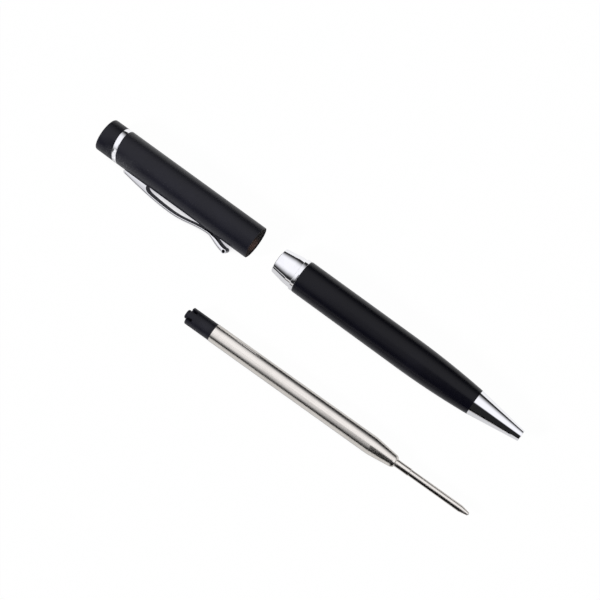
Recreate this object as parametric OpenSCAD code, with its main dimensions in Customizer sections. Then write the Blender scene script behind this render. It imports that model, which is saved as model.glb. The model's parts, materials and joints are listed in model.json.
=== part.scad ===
// Twist pen taken apart for a refill change. The upper barrel, the lower barrel and the refill lie apart on
// a table at z = 0. The pen's axis runs along X, with the writing end at +X and the refill on the -Y side.

/* [Barrels] */
// Outside diameter of both barrels
barrel_d = 10.3; // [10:0.1:12]
// Wall of the upper barrel
barrel_wall = 0.2; // [0.15:0.01:0.3]
// Length of the upper barrel on its axis, from the open end to the ring, with the standard refill
upper_len = 47.7; // [46:0.1:60]
// Length of the lower barrel
lower_len = 60.8; // [58:0.1:64]
// Wall of the lower barrel along its straight part
lower_wall = 0.95; // [0.7:0.05:1.1]
// Length of the rounded taper at the front of the lower barrel
taper_len = 24; // [20:0.5:30]
// Diameter of the lower barrel at its front end
front_d = 7.96; // [7.4:0.02:9]
// Length of the narrow bore at the front of the lower barrel
guide_len = 13; // [10:0.5:16]
// Length of the cone between the wide and the narrow bore
guide_cone = 3; // [2:0.5:5]
// Rounding of the barrels' edges
edge_round = 0.25; // [0.1:0.05:0.4]

/* [Top end] */
// Angle by which the ring leans, so that the cap is longest on one side
ring_lean = 12; // [0:0.5:16]
// Angle round the barrel from the clip to where the cap is longest
lean_turn = 30; // [0:5:90]
// Width of the ring along the axis
ring_w = 1.5; // [1:0.05:2.5]
// Length of the cap on its axis
cap_len = 6.2; // [4.5:0.1:9]
// Rounding of the cap's end
cap_round = 0.6; // [0.2:0.05:1.2]
// Height of the cap's domed end
cap_dome = 0.35; // [0.1:0.05:0.8]
// Length of the brass insert that closes the upper barrel
insert_len = 6.2; // [5.6:0.1:8]
// Diameter of the screw that holds the cap
screw_d = 2; // [1.6:0.1:2.6]
// Length of the screw under its head
screw_len = 11.5; // [10.5:0.1:12]
// Diameter of the screw's head
screw_head_d = 4.2; // [3.4:0.1:5]
// Height of the screw's head
screw_head_h = 1.2; // [0.8:0.1:1.6]

/* [Clip] */
// Length of the clip from its heel to its tip
clip_len = 38.8; // [34:0.1:43]
// Width of the clip
clip_w = 3.4; // [2.6:0.1:4.2]
// Thickness of the clip's arm
clip_t = 0.7; // [0.5:0.05:0.9]
// Thickness of the clip at its tip
clip_tip_t = 1.3; // [0.9:0.05:1.5]
// Length over which the arm thickens towards its tip
clip_swell = 3.2; // [2:0.1:5]
// Distance from the ring's edge to the clip's heel
clip_set = 2.4; // [1.5:0.1:4]
// Length of the foot that lies on the barrel
foot_len = 8.4; // [6:0.2:11]
// Height of the heel above the barrel
clip_heel = 0.75; // [0.6:0.05:1.2]
// Height of the arm's outer face above the barrel where it bows out most
clip_rise = 2.5; // [1.8:0.1:3.2]
// Distance from the tip to where the arm bows out most
clip_apex = 20.3; // [17:0.1:24]
// Distance from the tip to where the arm comes nearest to the barrel
clip_grip = 7.2; // [5:0.1:11]
// Height of the tip's outer face above the barrel
clip_flare = 2.85; // [1.8:0.05:4]
// How gently the tip starts to turn up
flare_power = 1.25; // [1:0.05:2]
// Diameter of the bead along the tip
bead_d = 1.45; // [0.9:0.05:1.6]
// Width of the tab that passes through the barrel's wall
tab_w = 2.2; // [1.6:0.1:2.5]
// Length of the tab along the barrel
tab_len = 2; // [1.4:0.1:2.4]
// Distance from the heel to the tab
tab_set = 0.8; // [0.5:0.1:1.2]
// Depth of the tab inside the liner
tab_deep = 1; // [0.6:0.1:1.4]

/* [Twist mechanism] */
// Wall of the brass liner in the upper barrel
liner_wall = 0.15; // [0.1:0.01:0.25]
// Distance of the liner behind the upper barrel's open end
liner_inset = 0.4; // [0:0.1:1]
// Wall of the tube with the winding slot
cam_wall = 0.7; // [0.5:0.05:0.75]
// Travel of the refill when the barrel is twisted
stroke = 6; // [4:0.5:7]
// Angle of a full twist
twist_angle = 180; // [120:10:200]
// Distance of the refill's tip inside the nose when it is drawn in
tip_inset = 2.5; // [1.5:0.1:3.5]
// Depth of the plunger behind the open end at which the upper barrel has its length above
plunger_set = 22.5; // [21:0.1:26]
// Length of the plunger that pushes the refill
plunger_len = 9; // [8.4:0.1:10]
// Distance from the plunger's face to its pin
pin_back = 5.4; // [4:0.1:6]
// Diameter of the plunger's pin
pin_d = 1.4; // [1:0.1:1.6]
// Diameter of the cup in the plunger's face
cup_d = 3.6; // [3.2:0.1:4.4]
// Depth of the cup in the plunger's face
cup_deep = 1.2; // [0.8:0.1:1.6]
// Wall of the bush at its mouth, where the coupling's cone goes in
bush_lip = 0.2; // [0.15:0.01:0.3]
// Length of the bush between the coupling's end and its shoulder
bush_back = 1.8; // [1.2:0.1:3]
// Thickness of the friction ring
seal_d = 0.55; // [0.4:0.05:0.7]
// Thickness of the retaining ring
keeper_t = 0.6; // [0.4:0.1:1]
// Depth of the retaining ring's groove
keeper_deep = 0.3; // [0.2:0.05:0.4]
// Length of the bush behind the retaining ring
bush_tail = 0.9; // [0.6:0.1:1.5]

/* [Coupling] */
// Length of the coupling outside the lower barrel, with the centre ring
coupling_len = 8.1; // [7:0.1:10]
// Length of the coupling's straight part
coupling_straight = 3.2; // [2.4:0.1:4]
// Wall of the coupling at its thin end
coupling_lip = 1.02; // [0.8:0.02:1.2]
// Length of the coupling inside the lower barrel
spigot_len = 9; // [6:0.5:14]
// Width of the centre ring on the coupling
centre_w = 1.3; // [0.8:0.1:1.6]
// Step from the barrel down to the centre ring
centre_step = 0.05; // [0:0.01:0.15]

/* [Nose] */
// Length of the nose cone outside the lower barrel
nose_len = 16; // [14:0.2:18]
// Diameter of the nose cone where it meets the lower barrel
nose_base_d = 7.9; // [7:0.1:8.4]
// Diameter of the nose cone at its tip
nose_tip_d = 3.45; // [3:0.05:3.9]
// Length of the nose's narrow hole
nose_hole_len = 8; // [7:0.1:9]
// Length of the cone behind the nose's narrow hole
nose_cone_in = 1; // [0.6:0.1:1.6]
// Length of the nose inside the lower barrel
nose_spigot = 4.5; // [3:0.1:5]
// Thickness of the return spring's wire
spring_wire = 0.35; // [0.25:0.05:0.4]
// Length of the return spring
spring_len = 18; // [14:0.5:20]
// Number of the return spring's turns
spring_turns = 10; // [7:1:12]

/* [Refill] */
// Length of the refill
refill_len = 98.1; // [97:0.1:99.5]
// Diameter of the refill's tube
refill_d = 5.6; // [5.4:0.05:5.8]
// Wall of the refill's tube
refill_wall = 0.2; // [0.15:0.01:0.3]
// Length of the plug outside the tube
plug_len = 9.6; // [7:0.1:11]
// Diameter of the plug outside the tube
plug_d = 5.44; // [5:0.02:5.6]
// Length of the plug inside the tube
plug_spigot = 5; // [3:0.1:8]
// Diameter of the boss on the plug's end
boss_d = 2.8; // [2.2:0.1:3.1]
// Length of the boss past the plug's teeth
boss_len = 1.05; // [0.6:0.05:1.2]
// Number of notches in the plug's end
notch_count = 6; // [4:1:8]
// Width of each notch
notch_w = 0.95; // [0.5:0.05:1.1]
// Depth of each notch
notch_deep = 1.9; // [1:0.1:3]
// Length of the tube's taper
refill_taper = 6.8; // [5:0.1:9]
// Diameter at the taper's end
refill_neck_d = 4; // [3.4:0.1:4.6]
// Length of the rounded shoulder
shoulder_len = 1.4; // [1:0.1:1.8]
// Diameter of the tip holder next to the shoulder
holder_d = 2.3; // [2.1:0.05:2.5]
// Length of the tip holder's thick part
holder_len = 4.8; // [3:0.1:7]
// Diameter of the tip holder's thin part
tip_d = 2.05; // [1.9:0.05:2.1]
// Length of the tip holder's thin part
tip_len = 17.2; // [15:0.1:19]
// Wall of the tip holder
holder_wall = 0.3; // [0.2:0.05:0.4]
// Length of the tip holder inside the tube's neck
holder_spigot = 1.1; // [0.8:0.1:1.3]
// Length of the cone that holds the ball
socket_len = 2.8; // [2:0.1:4]
// Diameter of the cone's end round the ball
socket_end_d = 1; // [0.95:0.01:1.2]
// Diameter of the writing ball
ball_d = 0.8; // [0.7:0.01:0.85]
// Distance by which the ball stands out of its cone
ball_out = 0.25; // [0.2:0.01:0.3]
// Length of the ink in the tube
ink_len = 40; // [5:1:44]

/* [Layout] */
// Distance between the upper barrel's open end and the coupling
parted_gap = 8.6; // [4:0.1:20]
// Distance from the pen's axis to the refill's middle
refill_out = 27.2; // [22:0.1:40]
// Distance from the nose's tip back to the refill's middle
refill_back = 47.9; // [20:0.1:60]
// Angle between the refill and the pen's axis
refill_yaw = 1; // [0:0.5:8]
// Angle by which the plug's notches are turned
plug_turn = 30; // [0:5:60]

/* [Clearances] */
// Gap round pieces that are pressed or glued in
fit = 0.02; // [0.01:0.01:0.03]
// Gap round pieces that turn or slide in each other
run = 0.05; // [0.03:0.01:0.07]
// Gap between the coupling and the liner and bush that it goes into
seat = 0.08; // [0.05:0.01:0.1]
// Play along the axis between pieces that turn against each other
end_play = 0.1; // [0.05:0.01:0.2]
// Gap round the refill in its bores
refill_clear = 0.1; // [0.05:0.01:0.12]
// Gap round the refill's tip in the nose
tip_clear = 0.13; // [0.08:0.01:0.15]
// Gap between the clip's foot and the barrel
foot_gap = 0.12; // [0.08:0.01:0.2]
// Gap between the clip and the barrel where it grips
grip_gap = 0.15; // [0.1:0.01:0.3]
// Gap round the clip's tab
tab_gap = 0.3; // [0.2:0.01:0.35]
// Gap between the clip's tip and the table
table_gap = 0.05; // [0.02:0.01:0.1]
// Gap round the pin in its slots
pin_gap = 0.12; // [0.1:0.01:0.15]
// Gap round the spring in the nose
spring_gap = 0.2; // [0.15:0.01:0.25]
// Gap between the ball and its cone
ball_gap = 0.02; // [0.01:0.01:0.03]

/* [Hidden] */
$fn = 64;
arc_steps = 8;
taper_steps = 24;
helix_steps = 26;
spring_rings = 8;
spring_sides = 6;
slack = 0.01;

// Radii, from the outside in
barrel_r = barrel_d / 2;
liner_ro = barrel_r - barrel_wall - fit;
liner_ri = liner_ro - liner_wall;
cam_ro = liner_ri - fit;
cam_ri = cam_ro - cam_wall;
bush_ro = liner_ri - run;
guide_ro = cam_ri - run;
refill_r = refill_d / 2;
refill_bore_r = refill_r + refill_clear;
plunger_r = refill_bore_r;
guide_ri = plunger_r + run;
lower_bore_r = barrel_r - lower_wall;
coupling_r = liner_ri - seat;
coupling_tip_r = refill_bore_r + coupling_lip;
front_r = front_d / 2;
taper_drop = barrel_r - front_r;
taper_r = (taper_len * taper_len + taper_drop * taper_drop) / (2 * taper_drop);
tip_r = tip_d / 2;
ball_r = ball_d / 2;
spring_r = holder_d / 2 + tip_clear + spring_wire / 2;
spring_bore_r = spring_r + spring_wire / 2 + spring_gap;
nose_hole_r = tip_r + tip_clear;
tube_ri = refill_r - refill_wall;

// Places along the pen's axis, from the nose's tip backwards
front_x = -nose_len;
top_x = front_x - lower_len;
coupling_x = top_x - coupling_len;
open_x = coupling_x - parted_gap;

// Places in the upper barrel, as distances from its open end, which meets the centre ring when the pen is
// put together. A longer refill makes it longer by as much
entry_len = coupling_len - centre_w;
plunger_u = refill_len + tip_inset - nose_len - lower_len - centre_w;
body_len = upper_len + plunger_u - plunger_set;
end_x = open_x - body_len - ring_w - cap_len;
pin_u = plunger_u + pin_back;
cone_rate = (coupling_len - coupling_straight) / (coupling_r - coupling_tip_r);
bush_u = coupling_straight - centre_w + (run + bush_lip) * cone_rate;
shoulder_u = entry_len + bush_back;
seal_u = entry_len + (bush_back + end_play) / 2;
cam_u = shoulder_u + end_play;
cam_end_u = plunger_u + plunger_len + pin_d;
keeper_u = cam_end_u + end_play;
bush_end_u = keeper_u + keeper_t + bush_tail;
insert_end_u = body_len - liner_ri * tan(ring_lean) - end_play;
insert_u = insert_end_u - insert_len;
heel_u = body_len - barrel_r * tan(ring_lean) * cos(lean_turn) - clip_set;
tip_u = heel_u - clip_len;
tab_u = heel_u - tab_set - tab_len;

// The barrel lies turned so that the clip's tip rests on the table
axis_z = barrel_r;
clip_tip_r = barrel_r + clip_flare;
grip_r = barrel_r + grip_gap + clip_t;
clip_reach = sqrt(clip_tip_r * clip_tip_r + clip_w * clip_w / 4);
clip_drop = asin((axis_z - table_gap) / clip_reach) - atan2(clip_w / 2, clip_tip_r);
clip_turn = 90 + clip_drop;

// Places along the refill, as distances from its rear end
neck_s = refill_len - socket_len - tip_len - holder_len - shoulder_len;
taper_s = neck_s - refill_taper;
holder_s = neck_s + shoulder_len;
socket_s = refill_len - socket_len;
ball_s = refill_len - ball_r;

// The middle of the whole layout is the origin
refill_tip_x = -refill_back + (refill_len / 2 - ball_r) * cos(refill_yaw) + ball_r;
tube_side = refill_r * cos(refill_yaw) + (refill_len / 2 - plug_len) * sin(refill_yaw);
plug_side = plug_d / 2 * cos(refill_yaw) + (refill_len / 2 - boss_len) * sin(refill_yaw);
mid_x = (end_x + max(0, refill_tip_x)) / 2;
mid_y = (barrel_r - refill_out - max(tube_side, plug_side)) / 2;

lacquer = [0.13, 0.13, 0.15];
chrome = [0.86, 0.87, 0.89];
brass = [0.62, 0.48, 0.28];
steel = [0.80, 0.78, 0.75];
plastic = [0.12, 0.12, 0.15];
acetal = [0.85, 0.84, 0.80];
rubber = [0.08, 0.08, 0.08];
ink = [0.06, 0.07, 0.20];

echo(pen_axis = [-mid_y, axis_z], open_end = open_x - mid_x, clip_drop = clip_drop);
echo(clip_pivot = [open_x - mid_x - heel_u, barrel_r], seated_travel = parted_gap + entry_len - end_play);
echo(plunger_per_radian = stroke / twist_angle * 180 / PI);
echo(refill_middle = [-refill_back - mid_x, -refill_out - mid_y, refill_r]);

// Points on an arc from angle a to angle b
function arc(centre, r, a, b) =
    [for (i = [0:arc_steps])
        let (t = a + (b - a) * i / arc_steps)
        centre + r * [cos(t), sin(t)]];

// Outside radius of the lower barrel at a distance past the start of its taper
function taper_at(s) = barrel_r - taper_r + sqrt(taper_r * taper_r - s * s);

// Outer face of the clip at a distance s from its tip
function clip_at(s) =
    s > clip_apex
        ? barrel_r + clip_heel + (clip_rise - clip_heel) * sin(90 * (clip_len - s) / (clip_len - clip_apex))
    : s > clip_grip
        ? ease(barrel_r + clip_rise, grip_r, (clip_apex - s) / (clip_apex - clip_grip))
        : grip_r + (clip_tip_r - grip_r) * pow(sin(90 * (clip_grip - s) / clip_grip), flare_power);

// Thickness of the clip at a distance s from its tip
function clip_thick(s) = ease(clip_t, clip_tip_t, min(1, max(0, (clip_grip - s) / clip_swell)));

// Smooth passage from a to b as t goes from 0 to 1
function ease(a, b, t) = (a + b) / 2 + (a - b) / 2 * cos(180 * t);

// Points of the spring's wire: ring i of the winding, side k round the wire
function spring_at(t) =
    let (a = 360 * spring_turns * t)
    [spring_len * t, spring_r * cos(a), spring_r * sin(a)];
function spring_side(t, k) =
    let (a = 360 * spring_turns * t, b = 360 * k / spring_sides, w = spring_wire / 2)
    spring_at(t) + w * [sin(b), cos(b) * cos(a), cos(b) * sin(a)];

// A turned piece along X, from points of radius and place
module lathe(points) {
    rotate([0, 90, 0])
        rotate_extrude()
            polygon(points);
}

module rod(r, from, to) {
    translate([from, 0, 0])
        rotate([0, 90, 0])
            cylinder(r = r, h = to - from);
}

module tube(ro, ri, from, to) {
    lathe([[ri, from], [ro, from], [ro, to], [ri, to]]);
}

// Everything that lies behind the leaning plane that crosses the axis at x
module behind_lean(x) {
    translate([x, 0, 0])
        rotate([lean_turn, 0, 0])
            rotate([0, ring_lean, 0])
                translate([-2 * body_len, -body_len, -body_len])
                    cube(2 * body_len);
}

// The slot through which the clip's tab passes, down to radius r
module tab_slot(r) {
    translate([-tab_u - tab_len - tab_gap, -tab_w / 2 - tab_gap, r])
        cube([tab_len + 2 * tab_gap, tab_w + 2 * tab_gap, barrel_d]);
}

module pen_place() {
    translate([-mid_x, -mid_y, axis_z])
        children();
}

module upper_place() {
    pen_place()
        translate([open_x, 0, 0])
            children();
}

module clip_place() {
    upper_place()
        rotate([clip_turn, 0, 0])
            children();
}

module refill_place() {
    translate([-refill_back - mid_x, -refill_out - mid_y, refill_r])
        rotate([0, 0, refill_yaw])
            translate([-refill_len / 2, 0, 0])
                children();
}

module upper_barrel() {
    color(lacquer)
        clip_place()
            difference() {
                tube(barrel_r, barrel_r - barrel_wall, -body_len - barrel_r, 0);
                behind_lean(-body_len);
                tab_slot(0);
            }
}

module barrel_liner() {
    color(brass)
        clip_place()
            difference() {
                tube(liner_ro, liner_ri, -insert_end_u, -liner_inset);
                tab_slot(0);
            }
}

module top_ring() {
    color(chrome)
        clip_place()
            difference() {
                intersection() {
                    tube(barrel_r, screw_d / 2 + run, -body_len - ring_w - barrel_r, barrel_r - body_len);
                    behind_lean(-body_len);
                }
                behind_lean(-body_len - ring_w);
            }
}

module cap() {
    cap_end = -body_len - ring_w - cap_len;
    screw_end = -insert_u - screw_len - end_play;
    flat_r = barrel_r - cap_round;
    dome_r = (flat_r * flat_r + cap_dome * cap_dome) / (2 * cap_dome);
    dome_edge = asin(flat_r / dome_r) - 90;
    color(lacquer)
        clip_place()
            intersection() {
                difference() {
                    lathe(concat(
                        [[0, barrel_r - body_len]],
                        arc([0, cap_end + dome_r], dome_r, -90, dome_edge),
                        arc([flat_r, cap_end + cap_dome + cap_round], cap_round, dome_edge, 0),
                        [[barrel_r, barrel_r - body_len]]
                    ));
                    rod(screw_d / 2 + fit, screw_end, barrel_r - body_len);
                }
                behind_lean(-body_len - ring_w);
            }
}

module top_insert() {
    color(brass)
        clip_place()
            difference() {
                tube(liner_ri - fit, screw_d / 2 + fit, -insert_end_u, -insert_u);
                tab_slot(liner_ri - tab_deep - tab_gap);
            }
}

module cap_screw() {
    slot_w = screw_d / 4;
    color(steel)
        clip_place()
            difference() {
                union() {
                    rod(screw_d / 2, -insert_u - screw_len, -insert_u);
                    rod(screw_head_d / 2, -insert_u, -insert_u + screw_head_h);
                }
                translate([-insert_u + screw_head_h / 2, -screw_head_d, -slot_w / 2])
                    cube([screw_head_h, 2 * screw_head_d, slot_w]);
            }
}

module clip() {
    arm_steps = 36;
    foot_s = clip_len - foot_len;
    foot_round = clip_rise - clip_t;
    bead_r = bead_d / 2;
    outer = [for (i = [0:arm_steps]) let (s = clip_len + (bead_r - clip_len) * i / arm_steps)
        [-tip_u - s, clip_at(s)]];
    inner = [for (i = [0:arm_steps]) let (s = bead_r + (foot_s - foot_round - bead_r) * i / arm_steps)
        [-tip_u - s, clip_at(s) - clip_thick(s)]];
    foot = [[-tip_u - foot_s, barrel_r], [-tip_u - foot_s, 0], [-tip_u - clip_len, 0]];
    color(chrome)
        clip_place() {
            difference() {
                union() {
                    rotate([90, 0, 0])
                        linear_extrude(clip_w, center = true)
                            polygon(concat(outer, inner, foot));
                    translate([-tip_u - bead_r, 0, clip_tip_r - bead_r])
                        rotate([90, 0, 0])
                            cylinder(d = bead_d, h = clip_w, center = true);
                }
                rod(barrel_r + foot_gap, -body_len, -tip_u - foot_s + foot_round);
            }
            translate([-tab_u - tab_len, -tab_w / 2, liner_ri - tab_deep])
                cube([tab_len, tab_w, barrel_r + clip_heel - liner_ri + tab_deep]);
        }
}

module cam_tube() {
    color(acetal)
        upper_place()
            difference() {
                tube(cam_ro, cam_ri, -cam_end_u, -cam_u);
                for (i = [0:helix_steps]) {
                    rotate([-twist_angle * i / helix_steps, 0, 0])
                        translate([-pin_u + stroke * i / helix_steps, 0, 0])
                            cylinder(d = pin_d + 2 * pin_gap, h = barrel_d);
                }
            }
}

module twist_bush() {
    groove_w = seal_d + 2 * end_play;
    groove_r = bush_ro - seal_d;
    slot_w = pin_d + 2 * pin_gap;
    color(brass)
        upper_place()
            difference() {
                lathe([
                    [bush_ro - bush_lip, -bush_u],
                    [bush_ro, -bush_u],
                    [bush_ro, -seal_u + groove_w / 2],
                    [groove_r, -seal_u + groove_w / 2],
                    [groove_r, -seal_u - groove_w / 2],
                    [bush_ro, -seal_u - groove_w / 2],
                    [bush_ro, -shoulder_u],
                    [guide_ro, -shoulder_u],
                    [guide_ro, -keeper_u + fit],
                    [guide_ro - keeper_deep, -keeper_u + fit],
                    [guide_ro - keeper_deep, -keeper_u - keeper_t - fit],
                    [guide_ro, -keeper_u - keeper_t - fit],
                    [guide_ro, -bush_end_u],
                    [guide_ri, -bush_end_u],
                    [guide_ri, -entry_len - end_play],
                    [coupling_tip_r + seat, -entry_len - end_play]
                ]);
                for (x = [-pin_u, -pin_u + stroke]) {
                    translate([x, 0, 0])
                        cylinder(d = slot_w, h = barrel_d);
                }
                translate([-pin_u, -slot_w / 2, 0])
                    cube([stroke, slot_w, barrel_d]);
            }
}

module friction_ring() {
    color(rubber)
        upper_place()
            translate([-seal_u, 0, 0])
                rotate([0, 90, 0])
                    rotate_extrude()
                        translate([bush_ro - seal_d / 2 + slack, 0])
                            circle(d = seal_d);
}

module keeper_ring() {
    gap_w = 2 * keeper_t;
    color(steel)
        upper_place()
            difference() {
                tube(cam_ro - run, guide_ro - keeper_deep + fit, -keeper_u - keeper_t, -keeper_u);
                translate([-keeper_u - 2 * keeper_t, -gap_w / 2, -barrel_d])
                    cube([3 * keeper_t, gap_w, barrel_d]);
            }
}

module plunger() {
    color(acetal)
        upper_place()
            difference() {
                rod(plunger_r, -plunger_u - plunger_len, -plunger_u);
                rod(cup_d / 2, -plunger_u - cup_deep, -plunger_u + slack);
                translate([-pin_u, 0, 0])
                    cylinder(d = pin_d + 2 * fit, h = barrel_d);
            }
}

module plunger_pin() {
    color(steel)
        upper_place()
            translate([-pin_u, 0, slack])
                cylinder(d = pin_d, h = cam_ro - run);
}

module lower_barrel() {
    taper_x = front_x - taper_len;
    taper = [for (i = [0:taper_steps]) let (s = taper_len * i / taper_steps) [taper_at(s), taper_x + s]];
    color(lacquer)
        pen_place()
            lathe(concat(
                [[lower_bore_r, top_x]],
                arc([barrel_r - edge_round, top_x + edge_round], edge_round, -90, 0),
                taper,
                [
                    [refill_bore_r, front_x],
                    [refill_bore_r, front_x - guide_len],
                    [lower_bore_r, front_x - guide_len - guide_cone]
                ]
            ));
}

module coupling() {
    color(chrome)
        pen_place()
            lathe([
                [refill_bore_r, top_x + spigot_len],
                [refill_bore_r, coupling_x],
                [coupling_tip_r, coupling_x],
                [coupling_r, top_x - coupling_straight],
                [coupling_r, top_x - fit],
                [lower_bore_r - fit, top_x - fit],
                [lower_bore_r - fit, top_x + spigot_len]
            ]);
}

module centre_ring() {
    color(chrome)
        pen_place()
            tube(barrel_r - centre_step, coupling_r + fit, top_x - centre_w, top_x - fit);
}

module nose_cone() {
    color(chrome)
        pen_place()
            lathe([
                [spring_bore_r, front_x - nose_spigot],
                [refill_bore_r - fit, front_x - nose_spigot],
                [refill_bore_r - fit, front_x],
                [nose_base_d / 2, front_x],
                [nose_tip_d / 2, 0],
                [nose_hole_r, 0],
                [nose_hole_r, -nose_hole_len],
                [spring_bore_r, -nose_hole_len - nose_cone_in]
            ]);
}

module return_spring() {
    rings = spring_turns * spring_rings;
    points = [for (i = [0:rings], k = [0:spring_sides - 1]) spring_side(i / rings, k)];
    walls = [for (i = [0:rings - 1], k = [0:spring_sides - 1])
        let (n = (k + 1) % spring_sides, a = i * spring_sides, b = a + spring_sides)
        each [[a + k, a + n, b + k], [a + n, b + n, b + k]]];
    first = [for (k = [1:spring_sides - 2]) [0, k + 1, k]];
    last = [for (k = [1:spring_sides - 2]) [0, k, k + 1] + rings * spring_sides * [1, 1, 1]];
    least_gap = norm(spring_at(1 / spring_turns) - spring_at(0)) - spring_wire;
    echo(spring_least_gap = least_gap);
    color(steel)
        pen_place()
            translate([-nose_hole_len - nose_cone_in - spring_len - spring_wire, 0, 0])
                polyhedron(points, concat(walls, first, last), convexity = spring_turns);
}

module refill_tube() {
    neck_r = refill_neck_d / 2;
    holder_r = holder_d / 2;
    lip = neck_r - holder_r - fit;
    color(steel)
        refill_place()
            lathe(concat(
                [
                    [tube_ri, plug_len],
                    [refill_r, plug_len],
                    [refill_r, taper_s],
                    [neck_r, neck_s]
                ],
                [for (i = [1:arc_steps]) let (a = 90 * i / arc_steps)
                    [holder_r + fit + lip * cos(a), neck_s + shoulder_len * sin(a)]],
                [
                    [holder_r + fit, holder_s - holder_spigot],
                    [neck_r - refill_wall, neck_s],
                    [tube_ri, taper_s]
                ]
            ));
}

module refill_plug() {
    teeth_s = boss_len;
    color(plastic)
        refill_place()
            rotate([plug_turn, 0, 0])
                difference() {
                    union() {
                        rod(boss_d / 2, 0, plug_len);
                        rod(plug_d / 2, teeth_s, plug_len - fit);
                        rod(tube_ri - fit, plug_len - slack, plug_len + plug_spigot);
                    }
                    for (i = [0:notch_count - 1]) {
                        rotate([360 * i / notch_count, 0, 0])
                            translate([-slack, -notch_w / 2, boss_d / 2])
                                cube([teeth_s + notch_deep, notch_w, plug_d]);
                    }
                }
}

module ink_column() {
    color(ink)
        refill_place()
            rod(tube_ri - fit, taper_s - ink_len, taper_s - fit);
}

module tip_holder() {
    holder_r = holder_d / 2;
    color(steel)
        refill_place()
            lathe([
                [holder_r - holder_wall, holder_s - holder_spigot],
                [holder_r, holder_s - holder_spigot],
                [holder_r, holder_s + holder_len],
                [tip_r, holder_s + holder_len],
                [tip_r, socket_s],
                [tip_r - holder_wall, socket_s],
                [tip_r - holder_wall, holder_s + holder_len],
                [holder_r - holder_wall, holder_s + holder_len - holder_wall]
            ]);
}

module ball_socket() {
    plug_in = socket_len / 2;
    feed_r = ball_r / 2;
    color(steel)
        refill_place()
            difference() {
                lathe([
                    [feed_r, socket_s - plug_in],
                    [tip_r - holder_wall - fit, socket_s - plug_in],
                    [tip_r - holder_wall - fit, socket_s],
                    [tip_r, socket_s],
                    [socket_end_d / 2, refill_len - ball_out],
                    [feed_r, refill_len - ball_out]
                ]);
                translate([ball_s, 0, 0])
                    sphere(r = ball_r + ball_gap);
            }
}

module writing_ball() {
    color(steel)
        refill_place()
            translate([ball_s, 0, 0])
                sphere(r = ball_r);
}

upper_barrel();
barrel_liner();
top_ring();
cap();
top_insert();
cap_screw();
clip();
cam_tube();
twist_bush();
friction_ring();
keeper_ring();
plunger();
plunger_pin();
lower_barrel();
coupling();
centre_ring();
nose_cone();
return_spring();
refill_tube();
refill_plug();
ink_column();
tip_holder();
ball_socket();
writing_ball();
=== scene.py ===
import json
import math

import bmesh
import bpy
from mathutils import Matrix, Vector


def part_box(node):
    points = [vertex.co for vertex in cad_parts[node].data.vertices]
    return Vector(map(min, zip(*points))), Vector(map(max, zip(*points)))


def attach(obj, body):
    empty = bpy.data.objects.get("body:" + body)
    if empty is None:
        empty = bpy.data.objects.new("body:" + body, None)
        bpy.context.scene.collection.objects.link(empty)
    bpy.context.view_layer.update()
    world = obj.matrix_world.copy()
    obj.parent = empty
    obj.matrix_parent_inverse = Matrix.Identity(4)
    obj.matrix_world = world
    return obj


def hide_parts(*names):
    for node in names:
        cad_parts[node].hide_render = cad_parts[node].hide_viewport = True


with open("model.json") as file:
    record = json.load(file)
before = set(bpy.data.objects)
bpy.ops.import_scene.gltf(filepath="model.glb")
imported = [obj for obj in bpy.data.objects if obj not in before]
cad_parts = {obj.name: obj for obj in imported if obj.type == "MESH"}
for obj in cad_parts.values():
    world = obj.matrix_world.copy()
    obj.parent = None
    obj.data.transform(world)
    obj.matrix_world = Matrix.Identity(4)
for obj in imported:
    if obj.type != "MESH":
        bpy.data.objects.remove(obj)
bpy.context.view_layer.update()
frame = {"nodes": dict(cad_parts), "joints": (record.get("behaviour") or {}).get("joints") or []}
mm = 0.001
joints = {joint["name"]: joint for joint in frame["joints"]}

# where the pen and the refill lie on the table
penLine = Vector(joints["twist"]["pos_m"])
penPlace = (0, penLine.y, penLine.z)
clipTurn = math.pi / 2 + math.asin(joints["clip_flex"]["axis"][1])
rollAxis = joints["ball_roll"]["axis"]
refillYaw = math.atan2(-rollAxis[0], rollAxis[1])
refillWay = Vector((math.cos(refillYaw), math.sin(refillYaw), 0))


def endsOf(node):
    # where a solid starts and ends along the pen, in mm
    low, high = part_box(node)
    return low.x / mm, high.x / mm


def wayTo(azimuth, elevation):
    # unit direction at these angles in degrees, where azimuth 0 is -Y and 90 is +X
    turn = math.radians(azimuth)
    lift = math.radians(elevation)
    return Vector((math.sin(turn) * math.cos(lift), -math.cos(turn) * math.cos(lift), math.sin(lift)))


# camera

cameraView = {"azimuth": 37.04, "elevation": 75.35, "distance": 0.533, "aim": (-0.00005, 0.00801, 0.0),
              "lens": 111.0, "sensor": 36, "clipStart": 0.01}


def setCamera():
    view = cameraView
    back = wayTo(view["azimuth"], view["elevation"])
    bpy.ops.object.camera_add(location=Vector(view["aim"]) + back * view["distance"])
    camera = bpy.context.object
    camera.rotation_euler = (-back).to_track_quat("-Z", "Y").to_euler()
    camera.data.lens = view["lens"]
    camera.data.sensor_width = view["sensor"]
    camera.data.clip_start = view["clipStart"]
    bpy.context.scene.camera = camera


setCamera()
bpy.context.scene.view_settings.view_transform = "Standard"
print("camera set")


# finishes: small helpers, then shared effects, then one function for each finish

def addNode(tree, kind, **values):
    node = tree.nodes.new(kind)
    for name, value in values.items():
        setattr(node, name, value)
    return node


def setInputs(node, values):
    for label, value in values.items():
        node.inputs[label].default_value = value


def addMath(tree, operation, *values):
    # each value is a node's output or a plain number
    node = addNode(tree, "ShaderNodeMath", operation=operation)
    for socket, value in zip(node.inputs, values):
        if isinstance(value, float):
            socket.default_value = value
        else:
            tree.links.new(value, socket)
    return node.outputs["Value"]


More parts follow.
